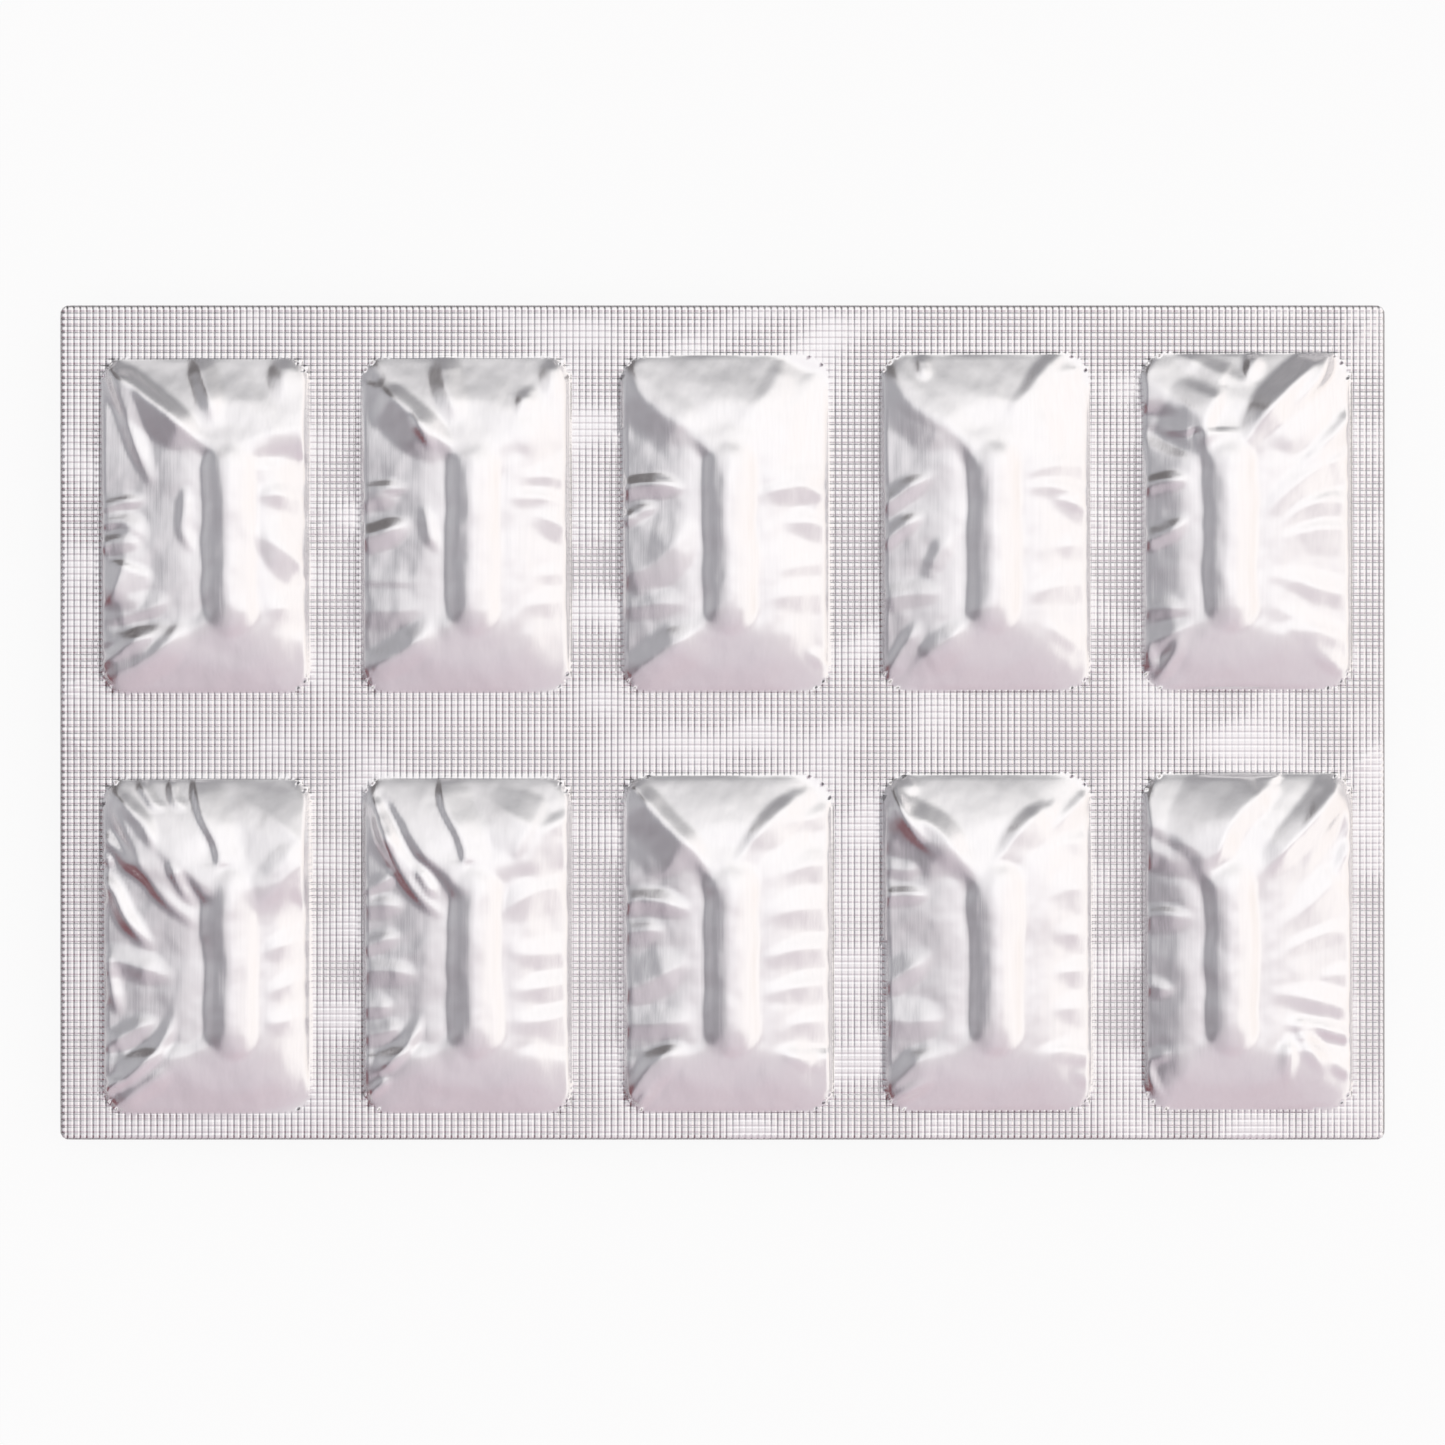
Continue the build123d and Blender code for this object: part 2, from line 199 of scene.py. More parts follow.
# Each fold: height, reach of its upper flank and of its lower one, then its crest from the seal inwards.
# Places are about the middle of its pocket, and a negative height is a crease.
upperFolds = (
    (
        (0.8, 1.3, 2.4, (-9.3, 15.6), (-5.1, 12.3), (-2.1, 10.0), (1.0, 6.7)),
        (0.5, 1.2, 0.7, (-9.6, 15.9), (-8.6, 13.4), (-7.6, 10.6), (-6.8, 7.8), (-5.4, 4.6), (-4.6, 3.2)),
        (0.5, 1.2, 1.2, (-0.6, 16.4), (0.6, 13.3), (1.4, 9.6)),
        (0.4, 1.5, 2.0, (8.3, 16.2), (7.9, 13.8), (7.4, 11.9)),
        (-0.4, 1.8, 1.0, (10.5, 7.7), (7.9, 7.1), (4.3, 6.4), (1.5, 6.3)),
        (0.35, 0.7, 0.7, (-10.5, 1.7), (-8.0, 2.3), (-5.4, 2.6)),
        (0.4, 1.2, 0.8, (-10.5, 0.1), (-8.4, 0.4), (-7.0, -0.2), (-5.4, -1.7)),
        (0.5, 1.0, 1.2, (-10.7, -2.4), (-9.6, -1.8), (-7.8, -1.3), (-5.6, -2.0)),
        (0.8, 2.2, 2.5, (-7.7, -3.4), (-8.7, -6.3), (-10.0, -8.6)),
        (0.3, 1.5, 0.9, (-8.9, -9.3), (-5.6, -8.4), (-2.8, -7.2)),
        (0.25, 1.0, 0.9, (-10.2, -11.7), (-6.0, -10.6), (-3.0, -9.6)),
        (0.5, 0.8, 1.3, (-10.1, -13.8), (-7.5, -11.9), (-4.0, -10.6)),
        (0.45, 0.9, 1.8, (-10.2, -15.3), (-6.3, -13.9), (-3.0, -11.7), (-1.8, -8.6)),
        (0.5, 1.2, 1.5, (10.7, 2.3), (7.9, 3.1), (4.8, 2.8)),
        (0.7, 2.5, 2.2, (10.7, -4.8), (9.0, -3.2), (7.1, -1.6), (4.3, -0.4)),
        (0.3, 1.5, 1.3, (10.6, -7.9), (8.0, -8.3), (5.5, -8.7)),
        (0.22, 0.7, 0.7, (-1.6, 3.2), (-2.0, -0.8), (-0.4, -3.3)),
    ),
    (
        (0.7, 1.2, 2.8, (-8.4, 13.4), (-5.1, 11.0), (-2.8, 8.8), (-0.4, 6.0)),
        (0.3, 0.6, 0.6, (-4.9, 10.3), (-3.7, 8.6), (-2.4, 7.1)),
        (0.5, 1.5, 1.4, (-2.0, 16.4), (-1.8, 13.8), (-0.4, 9.6)),
        (0.35, 1.3, 1.3, (9.0, 16.0), (8.8, 13.8), (8.7, 11.7)),
        (0.3, 0.8, 1.2, (6.3, 12.9), (5.3, 10.5)),
        (0.4, 0.9, 0.7, (-10.5, 3.2), (-8.0, 3.5), (-5.3, 3.6)),
        (0.35, 0.6, 1.0, (-10.6, 2.2), (-8.6, 2.6), (-6.3, 2.5)),
        (0.6, 1.1, 1.4, (-10.7, -1.5), (-7.5, -0.6), (-5.1, 0.4)),
        (0.12, 0.8, 0.8, (-10.4, -5.6), (-4.0, -5.8)),
        (0.12, 0.8, 0.8, (-10.4, -7.2), (-4.0, -7.0)),
        (0.3, 1.5, 1.5, (-10.4, -8.6), (-7.0, -8.6), (-3.5, -8.4)),
        (0.45, 1.5, 1.6, (-9.9, -14.5), (-7.0, -13.2), (-4.2, -11.4), (-3.1, -8.6)),
        (0.35, 1.2, 1.3, (10.6, 4.2), (8.3, 4.8), (5.0, 4.2)),
        (0.4, 1.0, 1.2, (10.7, 1.8), (7.9, 2.6), (3.5, 2.5)),
        (0.5, 1.4, 1.6, (10.7, -0.7), (8.3, 0.6), (5.7, 1.3)),
        (0.2, 1.0, 1.0, (10.5, -5.0), (6.0, -5.2)),
        (0.3, 1.4, 1.2, (10.6, -7.7), (8.0, -8.0), (4.8, -8.3)),
        (0.22, 0.7, 0.7, (-3.8, 1.1), (-3.3, -1.4), (-2.1, -3.2)),
    ),
    (
        (0.12, 2.0, 1.0, (-9.1, 15.6), (-8.8, 13.4), (-7.5, 11.4), (-6.0, 10.6), (-3.5, 9.9), (-1.8, 7.5)),
        (0.6, 0.9, 1.2, (-10.6, 3.1), (-9.4, 3.8), (-6.3, 3.9), (-3.6, 3.2)),
        (0.35, 0.8, 0.8, (-10.6, 0.1), (-9.0, 1.0), (-6.4, 1.8)),
        (0.6, 6.0, 2.2, (-10.6, -5.3), (-8.0, -4.6), (-5.8, -3.2), (-4.4, -0.8), (-4.0, 1.5)),
        (0.35, 1.4, 1.2, (-10.5, -8.3), (-7.5, -8.1), (-3.5, -7.9)),
        (0.45, 1.6, 2.5, (-9.6, -15.2), (-6.3, -12.9), (-2.8, -10.7), (-1.8, -9.3)),
        (0.2, 1.0, 1.8, (5.7, 15.8), (4.7, 13.3), (3.1, 11.7), (1.5, 9.6)),
        (0.18, 1.0, 1.5, (9.6, 15.6), (8.1, 12.9), (5.3, 10.7)),
        (0.25, 1.0, 1.0, (10.4, 4.7), (7.4, 4.8), (2.9, 4.1)),
        (0.55, 1.0, 1.7, (10.7, 2.2), (8.3, 3.7), (5.7, 3.4), (2.4, 2.5)),
        (0.5, 1.6, 1.6, (10.8, -0.6), (9.0, 0.0), (4.8, 0.2)),
        (0.2, 1.0, 1.0, (10.5, -3.9), (4.3, -4.9)),
        (0.35, 1.6, 1.5, (10.6, -7.1), (6.7, -7.3), (2.9, -7.9)),
        (0.25, 0.8, 0.8, (9.9, -14.0), (7.5, -12.5)),
    ),
    (
        (0.12, 2.0, 1.0, (-9.1, 15.5), (-8.6, 13.0), (-7.0, 11.2), (-4.5, 10.2), (-2.5, 9.2), (-1.6, 6.9)),
        (0.3, 0.8, 0.8, (-6.3, 16.5), (-6.1, 14.0)),
        (0.5, 1.0, 1.1, (-10.6, 1.4), (-8.0, 3.3), (-5.1, 4.8)),
        (0.4, 0.9, 0.9, (-10.6, -2.3), (-8.6, -0.6), (-6.0, 1.0)),
        (0.2, 1.0, 1.0, (-5.6, -4.8), (-4.4, -2.5), (-3.6, -1.0)),
        (0.3, 1.2, 1.3, (-10.4, -7.6), (-7.5, -7.0), (-4.0, -7.2)),
        (0.35, 0.7, 1.2, (-9.8, -15.0), (-8.2, -12.1), (-6.3, -9.3)),
        (0.4, 1.3, 2.0, (-6.5, -13.7), (-3.9, -11.9), (-2.0, -9.5)),
        (0.4, 0.9, 1.8, (7.4, 16.6), (5.2, 14.5), (4.6, 13.2), (3.1, 11.9), (1.6, 9.9)),
        (0.25, 0.9, 0.9, (9.8, 15.3), (6.7, 14.6)),
        (0.3, 1.1, 1.3, (10.6, 5.5), (7.4, 5.7), (3.1, 4.6)),
        (0.4, 0.9, 1.3, (10.7, 1.9), (8.1, 3.2), (5.7, 3.6), (2.7, 2.9)),
        (0.4, 0.7, 1.4, (10.7, 0.9), (8.3, 1.9), (5.7, 2.2)),
        (0.3, 1.2, 1.2, (10.6, -2.4), (8.1, -2.4), (5.7, -2.9)),
        (0.35, 1.4, 1.5, (10.6, -6.2), (7.9, -6.3), (2.9, -7.6)),
        (0.2, 1.0, 1.0, (9.6, -12.6), (5.3, -9.8)),
    ),
    (
        (1.0, 1.8, 1.6, (8.2, 16.7), (6.9, 15.4), (4.3, 13.4), (1.0, 9.8), (-1.1, 6.7)),
        (0.5, 0.8, 0.8, (8.5, 16.4), (7.5, 14.3), (5.7, 12.2), (3.5, 9.9)),
        (0.5, 0.7, 1.2, (0.9, 16.6), (0.2, 14.7), (0.3, 13.0)),
        (0.22, 1.0, 1.0, (-6.2, 16.5), (-3.0, 14.9), (-1.0, 14.1), (0.5, 14.0)),
        (0.5, 3.5, 1.0, (-2.8, 13.0), (-4.6, 9.6), (-4.0, 5.8)),
        (-0.3, 1.0, 1.0, (-10.3, 9.3), (-7.5, 7.7), (-4.4, 6.3)),
        (0.45, 0.8, 0.9, (-10.6, 3.3), (-8.5, 4.0), (-5.6, 4.1)),
        (0.5, 1.0, 1.0, (-10.6, -2.2), (-7.7, -1.0), (-5.8, 0.6)),
        (0.3, 1.0, 1.0, (-10.6, -8.8), (-8.5, -8.6), (-5.8, -9.0)),
        (0.4, 1.2, 1.2, (-10.7, -12.7), (-8.2, -11.5), (-5.1, -10.0)),
        (0.3, 0.8, 0.8, (-10.3, -12.8), (-8.9, -15.4)),
        (0.35, 0.8, 0.8, (-8.7, -15.5), (-7.4, -13.2), (-6.2, -11.0)),
        (0.6, 0.9, 1.2, (10.7, 11.0), (9.3, 8.9), (6.0, 6.1), (3.0, 5.0)),
        (0.55, 1.4, 1.8, (10.6, 6.3), (7.5, 5.6), (4.3, 3.2), (1.8, 1.0), (1.2, -1.0)),
        (0.4, 0.9, 1.8, (10.7, 1.6), (8.2, 2.2), (5.5, 1.4), (2.6, -1.2)),
        (0.4, 0.8, 2.4, (10.7, -0.8), (7.5, -0.6), (5.0, -1.2), (2.2, -2.2)),
        (0.4, 1.4, 1.3, (10.6, -7.5), (7.5, -7.0), (4.8, -5.9), (0.8, -5.3)),
        (0.35, 1.2, 1.8, (10.4, -12.2), (7.9, -11.4), (4.3, -9.5), (1.0, -7.7)),
        (0.3, 1.0, 1.0, (9.5, -14.8), (5.3, -12.2)),
    ),
)
lowerFolds = (
    (
        (0.5, 1.6, 0.75, (-9.5, 14.6), (-7.7, 10.9), (-5.7, 7.0), (-4.0, 4.7), (-1.2, 2.4), (0.6, 1.4)),
        (0.4, 0.9, 0.8, (-8.9, 15.0), (-6.3, 12.7), (-5.1, 10.5), (-5.0, 9.0)),
        (0.45, 2.4, 0.5, (-1.1, 16.6), (-0.4, 13.1), (1.0, 11.0), (1.7, 9.0), (1.4, 5.3)),
        (0.3, 0.6, 0.6, (-6.5, 16.4), (-5.0, 14.0), (-3.5, 13.9)),
        (0.3, 0.6, 0.6, (-3.4, 16.6), (-3.0, 14.5), (-1.5, 13.5)),
        (0.35, 0.6, 0.6, (-3.2, 7.9), (-2.0, 5.6), (-0.6, 3.9)),
        (0.4, 0.8, 0.8, (-10.7, 11.2), (-9.1, 10.0), (-7.0, 7.9), (-5.6, 5.8)),
        (0.3, 0.5, 0.5, (-10.7, 9.6), (-9.1, 7.9)),
        (0.55, 0.9, 0.9, (-10.5, 7.0), (-9.0, 5.6), (-8.2, 3.2), (-6.5, 1.2), (-4.7, -0.4)),
        (0.45, 1.4, 1.2, (-10.6, -1.2), (-8.0, -1.6), (-5.2, -2.4), (-2.8, -3.4)),
        (0.4, 0.8, 0.8, (-9.8, -1.6), (-9.2, -5.0), (-8.4, -7.0)),
        (0.45, 1.0, 1.3, (-9.6, -9.7), (-6.8, -8.0), (-4.2, -7.1)),
        (0.5, 1.4, 0.75, (-8.8, -13.9), (-6.3, -11.9), (-4.3, -9.8), (-3.1, -7.6), (-2.9, -5.8)),
        (0.4, 0.6, 0.6, (-10.5, -14.7), (-9.3, -13.6), (-7.7, -13.0)),
        (0.35, 0.9, 1.2, (-8.8, -15.8), (-5.5, -13.5), (-2.5, -11.5)),
        (0.6, 3.0, 4.0, (10.6, 9.8), (6.7, 12.9), (2.2, 15.8)),
        (0.5, 2.5, 2.5, (10.6, 8.9), (7.5, 6.2), (4.5, 2.2)),
        (0.4, 1.5, 1.4, (10.7, 0.9), (8.0, 0.0), (5.3, -0.5)),
        (0.4, 1.4, 1.4, (10.7, -2.8), (8.0, -4.1), (5.7, -4.9)),
        (0.4, 1.4, 1.4, (10.7, -6.5), (8.5, -7.5), (5.5, -7.7)),
    ),
    (
        (0.5, 1.0, 0.9, (-9.3, 14.9), (-8.0, 11.0), (-6.6, 8.3)),
        (0.5, 1.2, 0.7, (-8.8, 12.0), (-7.6, 9.4), (-6.0, 6.6), (-4.4, 4.6), (-2.8, 3.2), (-1.6, 2.6)),
        (-0.35, 0.7, 0.7, (-8.8, 15.0), (-6.8, 11.9), (-5.1, 8.6), (-2.8, 7.0), (-1.5, 5.3)),
        (0.45, 2.4, 0.5, (-2.5, 16.6), (-2.3, 13.8), (-0.7, 11.4), (0.1, 9.0), (-0.4, 5.4)),
        (0.35, 0.6, 0.6, (-4.7, 7.6), (-3.7, 6.0), (-2.6, 4.5)),
        (0.3, 0.8, 0.8, (-10.5, 5.2), (-8.0, 6.6), (-6.4, 7.6)),
        (0.35, 0.9, 1.2, (-10.5, 4.0), (-8.2, 4.2), (-6.0, 3.8)),
        (0.35, 0.8, 1.0, (-10.7, -0.3), (-8.5, 0.6), (-6.3, 1.1)),
        (0.35, 1.0, 1.3, (-10.5, -2.5), (-7.5, -2.4), (-4.5, -3.1)),
        (0.3, 1.0, 1.0, (-10.5, -6.1), (-7.0, -6.0)),
        (0.35, 1.0, 1.0, (-10.5, -9.0), (-7.5, -8.4), (-5.6, -7.7)),
        (0.5, 1.2, 0.7, (-8.6, -12.4), (-6.2, -10.4), (-4.8, -8.2), (-4.5, -6.6)),
        (0.35, 0.6, 0.6, (-9.9, -15.0), (-8.5, -13.8), (-7.2, -13.0)),
        (0.5, 2.5, 3.0, (7.4, 11.5), (4.0, 13.2), (1.0, 15.6)),
        (0.3, 0.9, 1.2, (10.5, 12.9), (8.5, 11.8), (7.0, 11.4)),
        (0.4, 1.6, 2.0, (10.6, 5.8), (7.5, 5.6), (4.5, 4.0), (2.0, 2.0)),
        (0.35, 1.5, 1.4, (10.7, -0.7), (7.5, -1.0), (3.7, -0.6)),
        (0.4, 1.4, 1.4, (10.7, -3.7), (7.5, -4.2), (4.0, -4.7)),
        (0.4, 1.3, 1.5, (10.7, -6.8), (8.0, -7.5), (4.0, -7.6)),
    ),
    (
        (0.6, 1.2, 4.0, (-8.9, 15.4), (-6.3, 12.1), (-2.8, 9.1), (-1.8, 6.3)),
        (0.6, 1.1, 1.2, (-10.6, 3.8), (-9.0, 4.6), (-6.3, 4.3), (-3.2, 3.1)),
        (0.3, 0.8, 1.2, (-10.4, 1.3), (-8.0, 1.5), (-6.0, 1.4)),
        (0.5, 2.4, 1.6, (-10.7, -4.5), (-8.0, -3.8), (-5.1, -2.2), (-3.5, -1.1)),
        (0.35, 1.4, 1.2, (-10.5, -8.0), (-7.5, -7.9), (-3.0, -7.6)),
        (0.4, 0.9, 2.0, (-9.7, -15.1), (-8.2, -12.4), (-6.3, -10.7), (-3.5, -9.8)),
        (0.25, 0.5, 0.5, (-8.9, -16.1), (-7.7, -14.5)),
        (0.5, 1.0, 2.0, (6.9, 14.6), (3.5, 11.5), (1.9, 9.6), (-0.2, 5.9)),
        (0.3, 1.0, 1.3, (10.6, 13.2), (7.5, 12.4), (5.3, 11.3)),
        (0.35, 1.3, 1.8, (10.6, 8.1), (8.3, 8.0), (4.8, 6.8)),
        (0.45, 2.0, 1.7, (10.6, 3.6), (7.0, 3.4), (3.0, 2.5)),
        (0.4, 1.2, 1.5, (10.6, -0.4), (7.4, -0.5), (3.0, -1.5)),
        (0.4, 1.2, 1.5, (10.6, -4.0), (7.4, -4.1), (3.0, -5.0)),
        (0.35, 1.1, 1.5, (10.6, -7.7), (8.0, -7.7), (5.3, -8.1)),
        (0.25, 0.9, 0.9, (8.6, -12.0), (4.9, -10.6)),
    ),
    (
        (0.7, 1.5, 2.2, (-9.1, 15.2), (-8.4, 12.6), (-5.5, 12.0), (-3.0, 9.0), (-1.7, 6.3)),
        (0.3, 0.7, 0.7, (-9.5, 15.5), (-8.6, 12.9), (-6.8, 10.4), (-5.3, 8.8)),
        (0.3, 0.7, 0.7, (-8.0, 16.2), (-7.2, 14.8)),
        (0.4, 0.7, 0.9, (-10.6, 4.7), (-8.5, 5.0), (-5.6, 4.8)),
        (0.25, 0.8, 0.8, (-10.4, 7.6), (-6.5, 7.2)),
        (0.4, 1.5, 1.3, (-10.5, -4.4), (-8.0, -2.6), (-5.6, -0.8)),
        (0.35, 2.0, 1.5, (-10.5, -7.6), (-7.5, -7.8), (-4.0, -7.4)),
        (0.35, 1.2, 2.0, (-9.9, -14.7), (-7.5, -11.9), (-5.0, -10.3)),
        (0.25, 0.6, 0.8, (-9.5, -15.5), (-7.5, -14.4), (-5.1, -13.3)),
        (0.5, 1.0, 2.0, (5.5, 13.3), (3.2, 11.5), (1.9, 9.6), (-0.6, 6.1)),
        (0.45, 0.8, 1.2, (10.3, 15.0), (8.6, 13.3), (5.7, 10.7)),
        (0.3, 1.0, 1.4, (10.6, 10.3), (7.9, 10.1), (6.0, 9.2)),
        (0.45, 2.0, 2.2, (10.6, 5.4), (8.3, 5.4), (5.5, 4.4)),
        (0.4, 1.5, 1.6, (10.6, 0.8), (8.0, 0.8), (5.7, 0.8)),
        (0.4, 1.2, 1.6, (10.6, -2.7), (8.0, -2.8), (6.0, -3.2)),
        (0.4, 1.5, 1.6, (10.6, -6.4), (8.0, -6.5), (5.7, -7.0)),
        (0.35, 1.3, 1.5, (10.6, -10.4), (8.0, -10.5), (5.3, -10.7)),
        (0.25, 0.9, 0.9, (10.2, -13.8), (7.9, -12.6)),
    ),
    (
        (0.9, 1.8, 1.5, (9.5, 16.3), (7.6, 13.6), (4.3, 10.0), (0.3, 6.0)),
        (1.0, 5.0, 1.5, (2.0, 15.5), (-1.6, 12.6), (-3.5, 8.6), (-4.0, 5.3)),
        (-0.3, 1.0, 1.0, (-10.4, 11.0), (-7.5, 9.3), (-5.1, 7.4), (-4.1, 5.3)),
        (0.4, 0.8, 1.6, (-10.7, 2.6), (-8.5, 2.9), (-5.5, 2.4)),
        (0.3, 0.8, 0.9, (-10.5, -4.1), (-7.5, -5.0)),
        (0.25, 0.8, 0.8, (-10.4, -11.9), (-7.8, -10.7)),
        (0.35, 0.5, 0.5, (-10.4, -11.9), (-9.6, -14.3), (-8.2, -16.0)),
        (0.6, 2.2, 1.2, (10.7, 14.4), (8.3, 12.3), (6.0, 8.5), (5.0, 5.8)),
        (0.45, 1.0, 1.0, (10.7, 9.9), (9.5, 8.2), (8.4, 6.2)),
        (0.4, 0.8, 0.8, (10.7, 13.0), (10.0, 11.0), (9.0, 9.8)),
        (0.5, 1.8, 2.2, (9.2, 6.5), (5.5, 3.2), (2.5, 1.2)),
        (0.25, 1.0, 1.0, (10.7, 0.8), (7.9, 1.1), (4.3, -0.5), (1.8, -2.2)),
        (0.2, 1.0, 1.0, (10.7, -3.2), (6.5, -3.4)),
        (0.5, 1.5, 1.4, (10.6, -7.0), (7.5, -6.0), (4.3, -5.3), (1.0, -5.1)),
        (0.6, 1.0, 0.9, (10.7, -9.6), (7.5, -8.7), (5.0, -8.0), (2.5, -8.3)),
        (0.5, 1.2, 1.0, (4.8, -8.6), (6.5, -11.5), (8.5, -14.0)),
        (0.3, 0.9, 0.9, (3.8, -9.8), (3.6, -12.9), (4.1, -15.0)),
        (0.35, 0.9, 0.9, (10.6, -13.2), (8.0, -12.0), (6.5, -10.8)),
    ),
)

# Creases across the seal, in the same way but about the middle of the pack.
sealCreases = (
    (0.14, 0.8, 0.9, (-41.4, 19.2), (-39.0, 20.0), (-36.2, 20.1)),
    (0.12, 0.7, 0.7, (-41.2, 21.6), (-38.6, 21.2), (-36.4, 21.6)),
    (0.14, 0.8, 0.9, (-15.4, 20.2), (-13.0, 19.6), (-10.2, 19.9)),
    (0.12, 0.7, 0.7, (-15.2, 18.2), (-12.6, 18.7), (-10.4, 18.3)),
    (0.12, 0.8, 0.8, (10.6, 19.4), (13.0, 19.9), (15.6, 19.6)),
    (0.14, 0.8, 0.9, (36.6, 20.4), (39.0, 19.8), (41.4, 20.6)),
    (0.12, 0.7, 0.7, (36.8, 22.4), (39.0, 22.0), (41.2, 22.2)),
    (0.14, 0.7, 0.9, (63.0, 38.2), (64.4, 40.0), (66.0, 41.6)),
    (0.12, 0.6, 0.6, (61.2, 39.4), (63.4, 41.4)),
    (0.14, 0.8, 0.9, (63.2, -4.6), (64.6, -3.2), (66.1, -2.0)),
    (0.12, 0.8, 0.8, (-66.1, 2.8), (-64.2, 4.4), (-62.6, 6.6)),
    (0.1, 0.8, 0.8, (-66.1, -0.8), (-63.6, -3.0), (-62.4, -4.4)),
)


def smoothRamp(t):
    t = np.clip(t, 0.0, 1.0)
    return t * t * (3.0 - 2.0 * t)


def smoothMax(a, b, width):
    lap = np.maximum(width - np.abs(a - b), 0.0) / width
    return np.maximum(a, b) + lap * lap * width * 0.25


def smoothMin(a, b, width):
    return -smoothMax(-a, -b, width)


def softened(line, rounds):
    for _ in range(rounds):
        line[1:-1] = 0.25 * line[:-2] + 0.5 * line[1:-1] + 0.25 * line[2:]
    return line


def summed(slope, steps):
    # height over even steps, from the slope at each of them
    return np.concatenate([[0.0], np.cumsum((slope[1:] + slope[:-1]) / 2) * steps[1]])


def easedLine(places, values, at, count=40, rounds=6):
    # reads a smooth line through a few given values, and how steeply it runs
    fine = np.linspace(places[0], places[-1], count)
    line = softened(np.interp(fine, places, values), rounds)
    return np.interp(at, fine, line), np.interp(at, fine, np.gradient(line, fine))


def noiseOver(x, y, field):
    scaleX, scaleY = field["scale"]
    places = [Vector((a * scaleX, b * scaleY, field["seed"])) for a, b in zip(x, y)]
    if "octaves" in field:
        finer = 2.0  # each octave is this much finer than the one before
        values = [noise.fractal(place, field["smoothness"], finer, field["octaves"]) for place in places]
    else:
        values = [noise.noise(place) for place in places]
    return field["height"] * np.array(values)


def wanderAlong(y, wander, seed, seedStep=3.7):
    reach, scale = wander
    return reach * np.array([noise.noise(Vector((place * scale, seed * seedStep, 1.0))) for place in y])


def toPocket(x, y):
    # which pocket a place belongs to, and the place about that pocket's middle
    turn = math.radians(-packShape["gridTurn"])
    centreX, centreY = packShape["gridCentre"]
    gridX = (x - centreX) * math.cos(turn) - (y - centreY) * math.sin(turn)
    gridY = (x - centreX) * math.sin(turn) + (y - centreY) * math.cos(turn)
    columns = len(capsuleShape["shifts"])
    column = np.clip(np.round(gridX / packShape["columnPitch"] + (columns - 1) / 2), 0, columns - 1)
    row = np.where(gridY > 0, 0, 1)
    localX = gridX - (column - (columns - 1) / 2) * packShape["columnPitch"]
    localY = gridY - (0.5 - row) * packShape["rowPitch"]
    return (row * columns + column).astype(int), localX, localY


def outsideBy(x, y):
    # distance outside the rounded outline of a pocket, negative inside it
    radius = packShape["pocketCornerRadius"]
    sideX = np.abs(x) - (packShape["pocketWidth"] / 2 - radius)
    sideY = np.abs(y) - (packShape["pocketLength"] / 2 - radius)
    corner = np.hypot(np.maximum(sideX, 0), np.maximum(sideY, 0))
    return corner + np.minimum(np.maximum(sideX, sideY), 0) - radius


def capsuleShift(number):
    return capsuleShape["shifts"][number % len(capsuleShape["shifts"])]


def fromCapsuleAxis(x, y, axisX):
    # past the middle of a rounded end it is the distance from that middle
    beyondBall = np.maximum(np.abs(y + capsuleShape["drop"]) - capsuleShape["straight"] / 2, 0.0)
    return np.hypot(x - axisX, beyondBall)


def sidePanel(fromAxis, toOutline):
    # by distance from the capsule's axis: round the capsule, back towards level, then gently down
    radius, ridge, leaves = capsuleShape["radius"], foilShape["ridge"], foilShape["leaves"]
    steps = np.linspace(0.0, foilShape["farthest"], 1001)
    wrapped = np.clip(steps, ridge, leaves)
    slope = wrapped / np.sqrt(radius ** 2 - wrapped ** 2)
    slope = slope * smoothRamp(steps / ridge * foilShape["ridgeSharpness"])
    slope = slope * (1.0 - smoothRamp((steps - leaves) / foilShape["hollow"]))
    fromPillow = (steps - leaves - foilShape["pillowPlace"]) / foilShape["pillowWidth"]
    slope = slope - foilShape["pillow"] * np.exp(-(fromPillow ** 2))
    fall = summed(slope, steps)
    down = summed(smoothRamp((steps - leaves) / foilShape["panelEase"]), steps)
    top = math.sqrt(radius ** 2 - ridge ** 2) - packShape["halfSeal"] + np.interp(ridge, steps, fall)
    share = (top - fall[-1] - foilShape["rimHeight"]) / np.interp(toOutline, steps, down)
    return top - np.interp(fromAxis, steps, fall) - share * np.interp(fromAxis, steps, down)


def towardsCrown(y, end):
    # where an end panel leaves the capsule, its height there, and a place's share of the way there
    radius, halfLength = capsuleShape["radius"], packShape["pocketLength"] / 2
    ball = capsuleShape["straight"] / 2 - end * capsuleShape["drop"]
    slope = math.asin(radius / (halfLength - ball))
    crown = ball + radius * math.sin(slope)
    rise = radius * math.cos(slope) - packShape["halfSeal"]
    return crown, rise, np.maximum((halfLength - end * y) / (halfLength - crown), 0.0)


